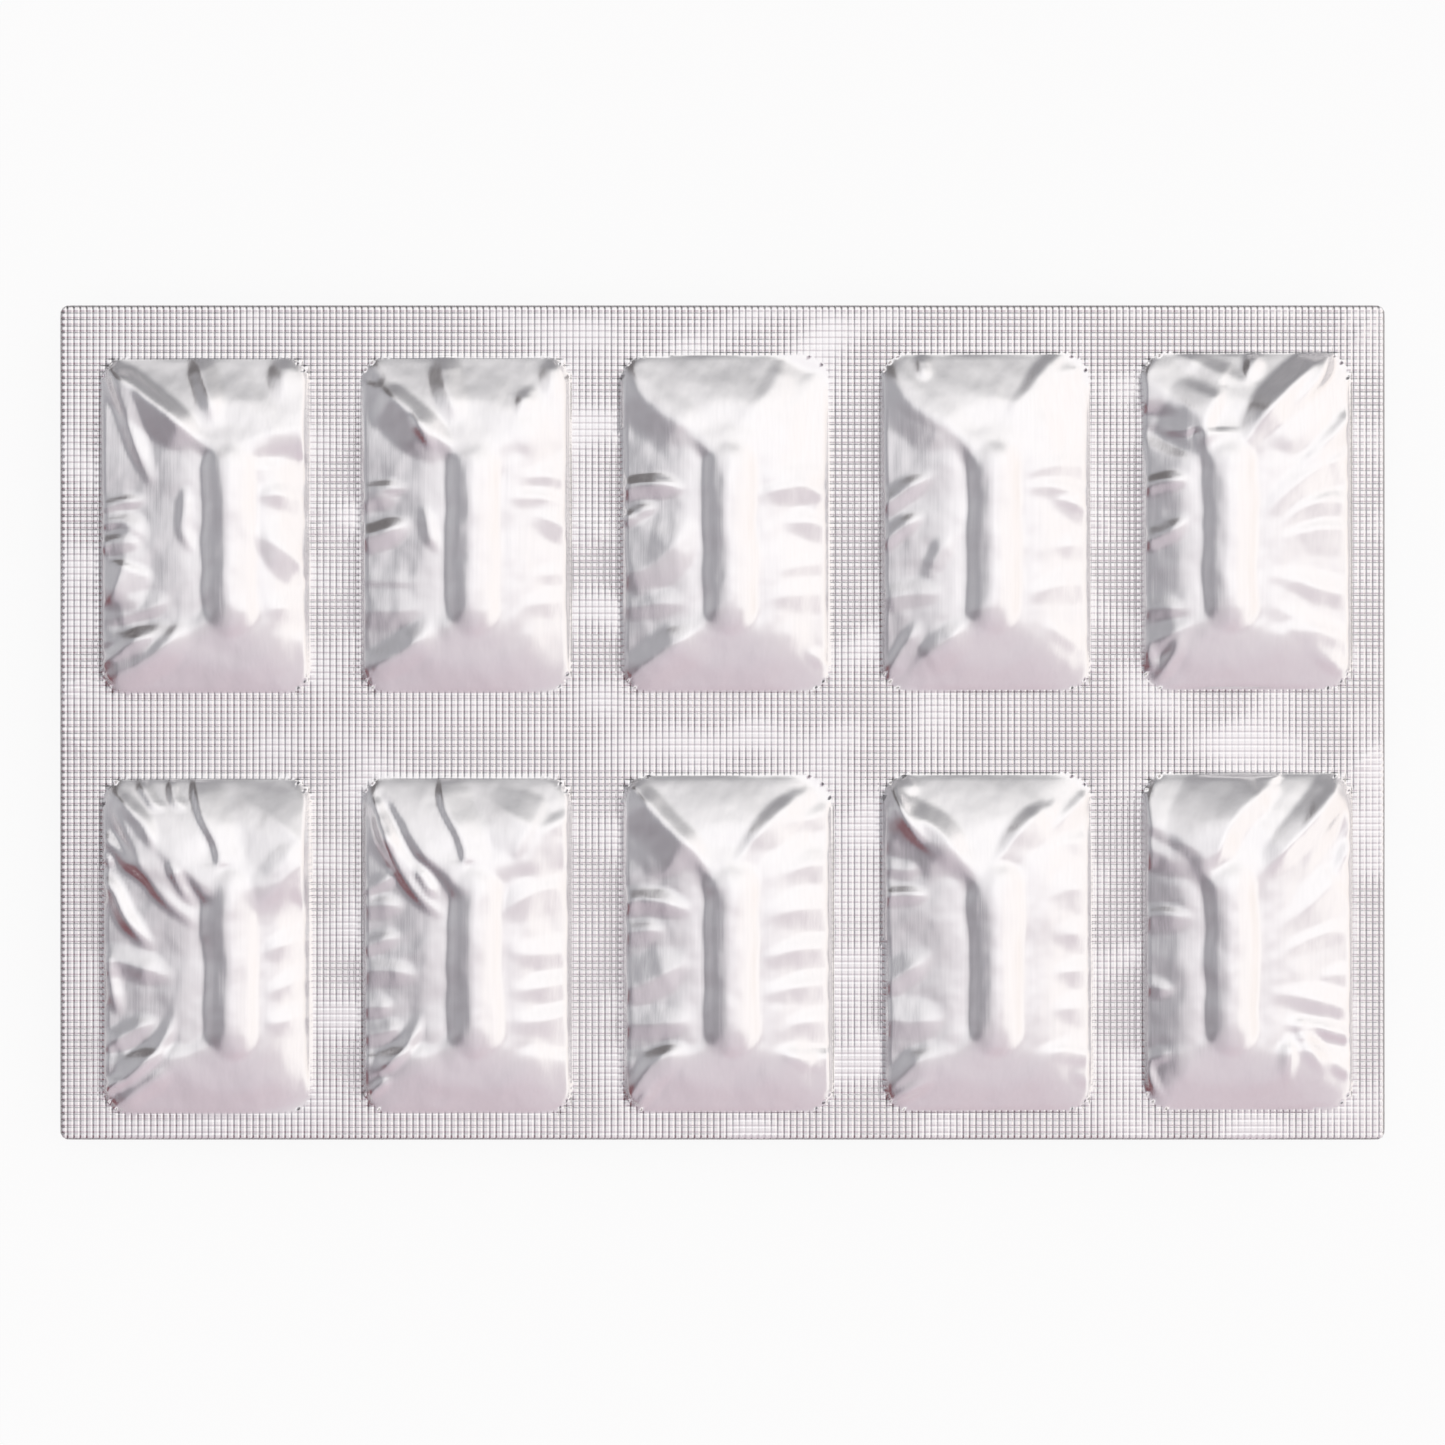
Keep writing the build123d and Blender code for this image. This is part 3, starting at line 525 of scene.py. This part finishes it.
def endPanel(x, y, panel, shift, vees, bow):
    # drawn from the seal over the capsule's rounded end, and falling away past its left and right edges
    end = (1, -1)[panel]
    crown, rise, away = towardsCrown(y, end)
    away = smoothMin(away, 1.0, foilShape["crownRound"])
    bowed = 1.0 - np.exp(-away / foilShape["bowEase"])
    beside = np.maximum(crown - end * y, 0.0)
    foil = rise * ((1.0 - bow) * away + bow * bowed) - foilShape["tentFall"] * beside ** 2
    for side, edge in enumerate(vees):
        levels = np.linspace(crown, packShape["pocketLength"] / 2, len(edge))
        tip = shift + (side - 0.5) * foilShape["tentWidth"]
        vee, run = easedLine([crown - foilShape["tentLength"], *levels], [tip, *edge], end * y)
        soft = foilShape["veeSoftness"][panel][side]
        outwards = (vee - x if side == 0 else x - vee) / np.sqrt(1.0 + run ** 2)
        beyond = np.logaddexp(0.0, outwards / soft) * soft
        lowSlope, highSlope = foilShape["flankSlopes"][side]
        foil = foil - (lowSlope + (highSlope - lowSlope) * away) * beyond
    return foil


def tautFoil(x, y, number, vees, bows):
    # the side panels, the capsule in its foil, and the end panels
    radius = capsuleShape["radius"]
    shift = capsuleShift(number) + capsuleShape["ridgeShift"]
    ridgeX = shift + wanderAlong(y, foilShape["ridgeWander"], number + foilShape["ridgeSeed"])
    fromAxis = fromCapsuleAxis(x, y, ridgeX)
    wander = wanderAlong(y, foilShape["hollowWander"], number)
    wander = wander * smoothRamp((fromAxis - foilShape["wanderFrom"]) / foilShape["wanderEase"])
    side = np.clip((x - shift) / foilShape["sideEase"], -1.0, 1.0)  # from left, -1, to right, 1
    toOutline = packShape["pocketWidth"] / 2 - shift * side
    foil = sidePanel(fromAxis - wander, toOutline)
    for end in (1, -1):
        _, rise, away = towardsCrown(y, end)
        foil = smoothMin(foil, rise * foilShape["sideDrop"] * away, foilShape["sideRound"])
    capsule = np.sqrt(np.maximum(radius ** 2 - fromAxis ** 2, 0.0)) - packShape["halfSeal"]
    capsule = np.where(fromAxis < radius, capsule, foilShape["noCapsule"])
    foil = smoothMax(foil, capsule, foilShape["capsuleRound"])
    # sharp where the end panels meet the capsule, and rounder further out
    pastCapsule, insideSeal = foilShape["endBlendEase"]
    rounder = smoothRamp((fromAxis - radius) / pastCapsule) * smoothRamp(-outsideBy(x, y) / insideSeal)
    width = foilShape["blend"] + foilShape["endBlend"] * rounder
    for panel, bow in enumerate(bows):
        foil = smoothMax(foil, endPanel(x, y, panel, shift, vees[panel], bow), width)
    return foil


def crestLine(points, count=18, rounds=4):
    # a smooth line through the given points
    points = np.array(points, float)
    steps = np.concatenate([[0.0], np.cumsum(np.hypot(*np.diff(points, axis=0).T))])
    places = np.linspace(0.0, steps[-1], count)
    line = np.stack([np.interp(places, steps, points[:, axis]) for axis in (0, 1)], axis=1)
    return softened(line, rounds)


def nearestOnLine(x, y, line):
    # distance from a crest line, the side of it, 1 above and -1 below, and the share of its length passed
    nearest = np.full(x.shape, np.inf)
    side = np.zeros(x.shape)
    passed = np.zeros(x.shape)
    for number, (start, end) in enumerate(zip(line[:-1], line[1:])):
        run = end - start
        length = max(math.hypot(*run), 1e-6)
        along = ((x - start[0]) * run[0] + (y - start[1]) * run[1]) / length ** 2
        within = np.clip(along, 0.0, 1.0)
        offX, offY = x - start[0] - within * run[0], y - start[1] - within * run[1]
        distance = np.hypot(offX, offY)
        upwards = np.array([-run[1], run[0]]) / length
        if upwards[1] < 0:
            upwards = -upwards
        closer = distance < nearest
        nearest = np.where(closer, distance, nearest)
        side = np.where(closer, np.sign(offX * upwards[0] + offY * upwards[1]), side)
        passed = np.where(closer, (number + within) / (len(line) - 1), passed)
    return nearest, side, passed


def foldHeight(x, y, fold):
    height, upperReach, lowerReach, *points = fold
    upperReach, lowerReach = upperReach * foldShape["reach"], lowerReach * foldShape["reach"]
    line = crestLine(points)
    reach = max(upperReach, lowerReach)
    near = (x > line[:, 0].min() - reach) & (x < line[:, 0].max() + reach)
    near &= (y > line[:, 1].min() - reach) & (y < line[:, 1].max() + reach)
    distance, side, passed = nearestOnLine(x[near], y[near], line)
    short = points[0][0] > 0 and height < foldShape["tall"]
    hold = foldShape["rightHold" if short else "hold"]
    grown = 0.5 + 0.5 * smoothRamp(passed / foldShape["start"])
    share = grown * (1.0 - smoothRamp((passed - hold) / (1.0 - hold)))
    reachHere = np.where(side > 0, upperReach, lowerReach) * (0.5 + 0.5 * share)
    away = distance / reachHere
    crest = foldShape["crest"] / reachHere
    profile = np.maximum(1.0 - np.sqrt(away * away + crest * crest) + 0.5 * crest, 0.0)
    total = np.zeros_like(x)
    total[near] = height * profile * share
    return total


def pocketHeight(x, y, number, look, mirrored):
    vees = look["vees"]
    if mirrored:
        vees = [[[-place for place in right], [-place for place in left]] for left, right in vees]
    height = tautFoil(x, y, number, vees, look["bows"])
    fromAxis = fromCapsuleAxis(x, y, capsuleShift(number))
    loose = smoothRamp((fromAxis - foldShape["looseFrom"]) / foldShape["looseEase"])
    for fold in look["folds"]:
        height = height + foldHeight(-x if mirrored else x, y, fold) * foldShape["scale"] * loose
    return height


def sealHeight(x, y, peaks, worn, mirrored):
    # the knurl, rolled thin in patches, and the seal's creases
    depth = 1.0 - knurlShape["wear"] * smoothRamp(worn + 0.5)
    height = knurlShape["valley"] + (knurlShape["peak"] - knurlShape["valley"]) * depth * peaks ** 2
    for crease in sealCreases:
        height = height + foldHeight(-x if mirrored else x, y, crease)
    return height


def inPocket(face):
    middle = face.calc_center_median()
    _, localX, localY = toPocket(middle.x, middle.y)
    return outsideBy(localX, localY) < 0


def drawOntoOutlines(pocketFaces, step=0.01, rounds=3):
    # the row of corners along each pocket's outline
    turn = math.radians(packShape["gridTurn"])
    for vert in {vert for face in pocketFaces for vert in face.verts}:
        if all(face in pocketFaces for face in vert.link_faces):
            continue
        for _ in range(rounds):
            _, localX, localY = toPocket(vert.co.x, vert.co.y)
            here = outsideBy(localX, localY)
            slopeX = (outsideBy(localX + step, localY) - here) / step
            slopeY = (outsideBy(localX, localY + step) - here) / step
            moveX, moveY = -here * slopeX, -here * slopeY
            vert.co.x += moveX * math.cos(turn) - moveY * math.sin(turn)
            vert.co.y += moveX * math.sin(turn) + moveY * math.cos(turn)


def roundPackCorners(bm):
    radius = packShape["cornerRadius"]
    for vert in bm.verts:
        overX = abs(vert.co.x) - (packShape["width"] / 2 - radius)
        overY = abs(vert.co.y) - (packShape["length"] / 2 - radius)
        far = math.hypot(max(overX, 0.0), max(overY, 0.0))
        if far > radius:
            vert.co.x -= math.copysign(overX * (1.0 - radius / far), vert.co.x)
            vert.co.y -= math.copysign(overY * (1.0 - radius / far), vert.co.y)


def knurledGrid(bm):
    # a flat web with a cell for each peak of the knurl; gives the share of its height that each peak has
    bmesh.ops.create_grid(bm, x_segments=knurlShape["columns"], y_segments=knurlShape["rows"], size=0.5)
    bmesh.ops.scale(bm, vec=(packShape["width"], packShape["length"], 1.0), verts=bm.verts)
    pocketFaces = {face for face in bm.faces if inPocket(face)}
    drawOntoOutlines(pocketFaces)
    edges = [edge for edge in bm.edges if any(face in pocketFaces for face in edge.link_faces)]
    bmesh.ops.subdivide_edges(bm, edges=edges, cuts=1, use_grid_fill=True)
    poked = bmesh.ops.poke(bm, faces=[face for face in bm.faces if not inPocket(face)])
    shortest = {vert: min(edge.calc_length() for edge in vert.link_edges) for vert in poked["verts"]}
    roundPackCorners(bm)
    for face in bm.faces:
        face.smooth = True
    return {vert: min(1.0, length / knurlShape["fullCell"]) for vert, length in shortest.items()}


def raiseFoil(bm, peakShares, looks, mirrored):
    # the knurled seal, and the foil that is drawn over the capsules
    sealed = bm.verts.layers.float["sealed"]
    verts = list(bm.verts)
    x = np.array([vert.co.x for vert in verts])
    y = np.array([vert.co.y for vert in verts])
    pocket, localX, localY = toPocket(x, y)
    outside = outsideBy(localX, localY)
    worn = noiseOver(x, y, foilNoise["worn"])
    peaks = np.array([peakShares.get(vert, 0.0) for vert in verts])
    height = sealHeight(x, y, peaks, worn, mirrored)
    softness = sum(noiseOver(x, y, foilNoise[name]) for name in ("crumple", "swell", "wrinkle"))
    foot = knurlShape["valley"] + foilShape["lift"]
    for number, look in enumerate(looks):
        inside = (pocket == number) & (outside < -packShape["onOutline"])
        drawn = pocketHeight(localX[inside], localY[inside], number, look, mirrored) + softness[inside]
        inwards = np.clip(-outside[inside] / foilShape["rim"], 0.0, 1.0)
        pinned = 1.0 - (1.0 - inwards) ** foilShape["rimPower"]
        height[inside] = foot + np.maximum(drawn, foilShape["lift"]) * pinned
    bump = knurlShape["bump"] + noiseOver(x, y, foilNoise["pressed"]) + knurlShape["wornBump"] * worn
    bump = np.where(outside > -packShape["onOutline"], np.clip(bump, knurlShape["leastBump"], 1.0), 0.0)
    for vert, z, strength in zip(verts, height, bump):
        vert.co.z = z
        vert[sealed] = strength


def closeWeb(bm):
    # the cut edge, and the seal's middle where the two webs meet
    rim = [edge for edge in bm.edges if edge.is_boundary]
    skirt = bmesh.ops.extrude_edge_only(bm, edges=rim)["geom"]
    for vert in skirt:
        if isinstance(vert, bmesh.types.BMVert):
            vert.co.z = 0.0
    lowEdges = [edge for edge in skirt if isinstance(edge, bmesh.types.BMEdge) and edge.is_boundary]
    bmesh.ops.edgeloop_fill(bm, edges=lowEdges)
    for face in bm.faces:
        if len(face.verts) > 4:
            face.smooth = False


def foilWeb(name, looks, isBack):
    print("making", name)
    bm = bmesh.new()
    bm.verts.layers.float.new("sealed")  # strength of the material's knurl, which is on the seal alone
    peakShares = knurledGrid(bm)
    print("raising", name)
    raiseFoil(bm, peakShares, looks, isBack)
    closeWeb(bm)
    if isBack:
        bmesh.ops.scale(bm, vec=(1.0, 1.0, -1.0), verts=bm.verts)
    bmesh.ops.translate(bm, vec=(0.0, 0.0, packShape["middleHeight"]), verts=bm.verts)
    for vert in bm.verts:
        vert.co.z = max(vert.co.z, 0.0)  # the lower crowns are pressed flat on the table
    bmesh.ops.recalc_face_normals(bm, faces=bm.faces)
    bmesh.ops.scale(bm, vec=(millimetre, millimetre, millimetre), verts=bm.verts)

    mesh = bpy.data.meshes.new(name)
    bm.to_mesh(mesh)
    bm.free()
    web = bpy.data.objects.new(name, mesh)
    bpy.context.scene.collection.objects.link(web)
    print(name, "has", sum(len(face.vertices) - 2 for face in mesh.polygons), "triangles")
    return web


pocketLooks = [
    {"vees": vees, "folds": folds, "bows": endBows[row]}
    for row, rowVees, rowFolds in (("upper", upperVees, upperFolds), ("lower", lowerVees, lowerFolds))
    for vees, folds in zip(rowVees, rowFolds)
]
backOrder = (6, 3, 9, 0, 7, 1, 8, 4, 2, 5)  # the back has the same pockets in another order
frontWeb = foilWeb("front_foil", pocketLooks, False)
backWeb = foilWeb("back_foil", [pocketLooks[number] for number in backOrder], True)


def feed(tree, node, inputs):
    # each input is a plain value, or another node's socket to link
    for name, value in inputs.items():
        if isinstance(value, bpy.types.NodeSocket):
            tree.links.new(value, node.inputs[name])
        else:
            node.inputs[name].default_value = value


def newNode(tree, kind, inputs=None, **settings):
    node = tree.nodes.new(f"ShaderNode{kind}")
    for name, value in settings.items():
        setattr(node, name, value)
    feed(tree, node, inputs or {})
    return node


rollingLines = {
    "lineScale": 4200.0,
    "lineStretch": (1.0, 0.035, 1.0),  # the lines run along the capsules
    "lineDetail": 3.0,
    "darkestLine": 0.94,
    "hazeScale": 260.0,
    "hazeDetail": 4.0,
}


def rolledFoilGroup():
    # the rolling lines and the slight haze that every face of the foil has
    group = bpy.data.node_groups.new("rolledFoil", "ShaderNodeTree")
    group.interface.new_socket("Vector", in_out="INPUT", socket_type="NodeSocketVector")
    for name in ("Line Scale", "Haze Scale", "Roughness", "Contrast"):
        group.interface.new_socket(name, in_out="INPUT", socket_type="NodeSocketFloat")
    for name in ("Tone", "Roughness", "Height"):
        group.interface.new_socket(name, in_out="OUTPUT", socket_type="NodeSocketFloat")
    start, end = group.nodes.new("NodeGroupInput").outputs, group.nodes.new("NodeGroupOutput")
    stretched = {0: start["Vector"], 1: rollingLines["lineStretch"]}
    lines = newNode(group, "TexNoise", {
        "Vector": newNode(group, "VectorMath", stretched, operation="MULTIPLY").outputs[0],
        "Scale": start["Line Scale"],
        "Detail": rollingLines["lineDetail"],
    })
    haze = newNode(group, "TexNoise", {
        "Vector": start["Vector"],
        "Scale": start["Haze Scale"],
        "Detail": rollingLines["hazeDetail"],
    })
    tone = newNode(group, "MapRange", {"Value": lines.outputs["Fac"], "To Min": rollingLines["darkestLine"]})
    spread = {0: haze.outputs["Fac"], 1: start["Contrast"], 2: start["Roughness"]}
    feed(group, end, {
        "Tone": tone.outputs["Result"],
        "Roughness": newNode(group, "Math", spread, operation="MULTIPLY_ADD").outputs[0],
        "Height": lines.outputs["Fac"],
    })
    return group


def groove(tree, coordinate, pitch, start, width):
    # 0 in the grooves between the knurl's cells and 1 on the cells, along one axis
    cells = {0: coordinate, 1: 1.0 / pitch, 2: -start / pitch}
    cell = newNode(tree, "Math", cells, operation="MULTIPLY_ADD")
    fromEdge = newNode(tree, "Math", {0: cell.outputs[0], 1: 0.5}, operation="PINGPONG")
    rise = {"Value": fromEdge.outputs[0], "From Max": width}
    return newNode(tree, "MapRange", rise, interpolation_type="SMOOTHSTEP").outputs["Result"]


def knurlGroup():
    # the small flat tops of the knurl and the pits at their corners
    group = bpy.data.node_groups.new("knurl", "ShaderNodeTree")
    group.interface.new_socket("Vector", in_out="INPUT", socket_type="NodeSocketVector")
    group.interface.new_socket("Groove Width", in_out="INPUT", socket_type="NodeSocketFloat")
    group.interface.new_socket("Height", in_out="OUTPUT", socket_type="NodeSocketFloat")
    start, end = group.nodes.new("NodeGroupInput").outputs, group.nodes.new("NodeGroupOutput")
    place = newNode(group, "SeparateXYZ", {0: start["Vector"]}).outputs
    grooves = []
    for axis, size, cells in (("X", "width", "columns"), ("Y", "length", "rows")):
        pitch = packShape[size] / knurlShape[cells] * millimetre
        edge = -packShape[size] / 2 * millimetre
        grooves.append(groove(group, place[axis], pitch, edge, start["Groove Width"]))
    total = newNode(group, "Math", {0: grooves[0], 1: grooves[1]}, operation="ADD")
    feed(group, end, {"Height": total.outputs[0]})
    return group


foilFinish = {
    "colour": (0.86, 0.85, 0.86),
    "roughness": 0.2,
    "contrast": {"front": 0.08, "back": 0.1},  # of the haze
    "lineDepth": 0.000008,  # in metres, as is the knurl's
    "knurlDepth": 0.0001,
    "grooveWidth": 0.3,  # of the knurl, as a share of its pitch
}


def foilMaterial(side, rolledFoil, knurl):
    material = bpy.data.materials.new(f"{side}Foil")
    material.use_nodes = True
    tree = material.node_tree
    place = newNode(tree, "TexCoord").outputs["Object"]
    rolled = newNode(tree, "Group", {
        "Vector": place,
        "Line Scale": rollingLines["lineScale"],
        "Haze Scale": rollingLines["hazeScale"],
        "Roughness": foilFinish["roughness"],
        "Contrast": foilFinish["contrast"][side],
    }, node_tree=rolledFoil).outputs
    pressed = newNode(tree, "Group", {
        "Vector": place,
        "Groove Width": foilFinish["grooveWidth"],
    }, node_tree=knurl)
    tint = newNode(tree, "VectorMath", {0: foilFinish["colour"], "Scale": rolled["Tone"]}, operation="SCALE")
    lineBump = newNode(tree, "Bump", {"Height": rolled["Height"], "Distance": foilFinish["lineDepth"]})
    knurlBump = newNode(tree, "Bump", {
        "Strength": newNode(tree, "Attribute", attribute_name="sealed").outputs["Fac"],
        "Distance": foilFinish["knurlDepth"],
        "Height": pressed.outputs["Height"],
        "Normal": lineBump.outputs["Normal"],
    })
    feed(tree, tree.nodes["Principled BSDF"], {
        "Base Color": tint.outputs[0],
        "Metallic": 1.0,
        "Roughness": rolled["Roughness"],
        "Normal": knurlBump.outputs["Normal"],
    })
    return material


print("materials")
rolledFoil = rolledFoilGroup()
knurlPattern = knurlGroup()
for web, side in ((frontWeb, "front"), (backWeb, "back")):
    web.data.materials.append(foilMaterial(side, rolledFoil, knurlPattern))
    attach(web, "root")
    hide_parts("foil_pack")

# What the foil reflects. Each number is how far a direction leans along an axis, from -1 to 1.
skyColours = {
    "leftToRight": (
        (-1.0, (0.50, 0.50, 0.52)),
        (-0.9, (0.43, 0.43, 0.45)),
        (-0.76, (0.34, 0.34, 0.36)),
        (-0.66, (0.33, 0.33, 0.35)),
        (-0.58, (0.48, 0.48, 0.50)),
        (-0.5, (0.73, 0.72, 0.74)),
        (-0.38, (0.80, 0.79, 0.80)),
        (-0.25, (0.84, 0.83, 0.84)),
        (-0.12, (0.90, 0.89, 0.90)),
        (-0.02, (0.97, 0.96, 0.97)),
        (0.06, (1.0, 0.99, 0.99)),
        (0.2, (1.0, 0.99, 0.99)),
        (0.85, (1.0, 0.98, 0.97)),
        (1.0, (0.95, 0.90, 0.86)),
    ),
    "frontToBack": (
        (-1.0, (0.60, 0.50, 0.54)),
        (-0.8, (0.66, 0.60, 0.64)),
        (-0.5, (0.68, 0.63, 0.66)),
        (-0.25, (0.72, 0.68, 0.70)),
        (-0.12, (0.80, 0.77, 0.78)),
        (-0.03, (0.93, 0.91, 0.92)),
        (0.06, (1.0, 0.99, 0.99)),
        (0.3, (1.0, 1.0, 1.0)),
        (0.62, (0.98, 0.97, 0.96)),
        (0.78, (0.68, 0.68, 0.68)),
        (0.9, (0.36, 0.36, 0.37)),
        (1.0, (0.25, 0.25, 0.26)),
    ),
    "brightness": 1.22,
}

# What stands in that sky: its colour, and for each axis where it begins to show and where it shows in full.
skyPatches = {
    "lamp": ((1.0, 0.98, 0.97), {"X": (0.42, 0.75)}),
    "darkBack": ((0.13, 0.12, 0.12), {"X": (-0.3, -0.5), "Y": (0.5, 0.68)}),
    "redFront": ((0.17, 0.06, 0.07), {"X": (-0.52, -0.68), "Y": (-0.22, -0.4), "Z": (0.48, 0.3)}),
}


def skyRamp(tree, along, stops):
    # colours across the sky, by how far a direction leans
    half = newNode(tree, "Math", {0: along, 1: 0.5, 2: 0.5}, operation="MULTIPLY_ADD")
    ramp = newNode(tree, "ValToRGB", {"Fac": half.outputs[0]})
    ramp.color_ramp.interpolation = "B_SPLINE"
    elements = ramp.color_ramp.elements
    elements.remove(elements[1])
    for number, (lean, shade) in enumerate(stops):
        stop = elements[0] if number == 0 else elements.new((lean + 1.0) / 2.0)
        stop.position = (lean + 1.0) / 2.0
        stop.color = (*shade, 1.0)
    return ramp.outputs["Color"]


def overlaid(tree, under, share, colour):
    return newNode(tree, "Mix", {0: share, 6: under, 7: (*colour, 1.0)}, data_type="RGBA").outputs[2]


def withPatch(tree, under, direction, patch):
    colour, reaches = skyPatches[patch]
    share = 1.0
    for axis, (begins, full) in reaches.items():
        reach = {"Value": direction[axis], "From Min": begins, "From Max": full}
        shown = newNode(tree, "MapRange", reach, interpolation_type="SMOOTHSTEP").outputs["Result"]
        share = newNode(tree, "Math", {0: share, 1: shown}, operation="MULTIPLY").outputs[0]
    return overlaid(tree, under, share, colour)


def makeSky(world):
    world.use_nodes = True
    tree = world.node_tree
    place = newNode(tree, "TexCoord").outputs["Generated"]
    direction = newNode(tree, "SeparateXYZ", {0: place}).outputs
    leftToRight = skyRamp(tree, direction["X"], skyColours["leftToRight"])
    frontToBack = skyRamp(tree, direction["Y"], skyColours["frontToBack"])
    lit = withPatch(tree, frontToBack, direction, "lamp")
    blend = newNode(tree, "VectorMath", {0: leftToRight, 1: lit}, operation="MULTIPLY")
    colour = withPatch(tree, blend.outputs[0], direction, "darkBack")
    colour = withPatch(tree, colour, direction, "redFront")
    brighter = newNode(tree, "VectorMath", {0: colour, "Scale": skyColours["brightness"]}, operation="SCALE")
    toCamera = newNode(tree, "LightPath").outputs["Is Camera Ray"]
    seen = overlaid(tree, brighter.outputs[0], toCamera, (1.0, 1.0, 1.0))
    feed(tree, tree.nodes["Background"], {"Color": seen})


studio = {
    "lensLength": 100.0,
    "sensorWidth": 36.0,
    "frameWidth": 144.5,  # what the camera sees of the seal's middle
    "floorSize": 6.0,  # in metres
    "floorTone": 0.85,
    "floorRoughness": 0.9,
    "floorWhite": 0.9,  # how far the camera sees it as plain white
}


def paperMaterial():
    material = bpy.data.materials.new("floorPaper")
    material.use_nodes = True
    tree = material.node_tree
    shader = tree.nodes["Principled BSDF"]
    tone = studio["floorTone"]
    feed(tree, shader, {"Base Color": (tone, tone, tone, 1.0), "Roughness": studio["floorRoughness"]})
    toCamera = newNode(tree, "LightPath").outputs["Is Camera Ray"]
    share = newNode(tree, "Math", {0: toCamera, 1: studio["floorWhite"]}, operation="MULTIPLY")
    glow = newNode(tree, "Emission")
    mix = newNode(tree, "MixShader", {0: share.outputs[0], 1: shader.outputs[0], 2: glow.outputs[0]})
    feed(tree, tree.nodes["Material Output"], {"Surface": mix.outputs[0]})
    return material


print("studio")
scene = bpy.context.scene
scene.world = bpy.data.worlds.new("studio")
makeSky(scene.world)

bm = bmesh.new()
bmesh.ops.create_grid(bm, x_segments=1, y_segments=1, size=studio["floorSize"] / 2)
floorMesh = bpy.data.meshes.new("floor")
bm.to_mesh(floorMesh)
bm.free()
floorMesh.materials.append(paperMaterial())
floor = bpy.data.objects.new("floor", floorMesh)
scene.collection.objects.link(floor)

camera = bpy.data.cameras.new("camera")
camera.lens = studio["lensLength"]
camera.sensor_width = studio["sensorWidth"]
distance = studio["frameWidth"] * camera.lens / camera.sensor_width
cameraObject = bpy.data.objects.new("camera", camera)
cameraObject.location = (0.0, 0.0, (packShape["middleHeight"] + distance) * millimetre)
scene.collection.objects.link(cameraObject)
scene.camera = cameraObject
scene.view_settings.view_transform = "Standard"
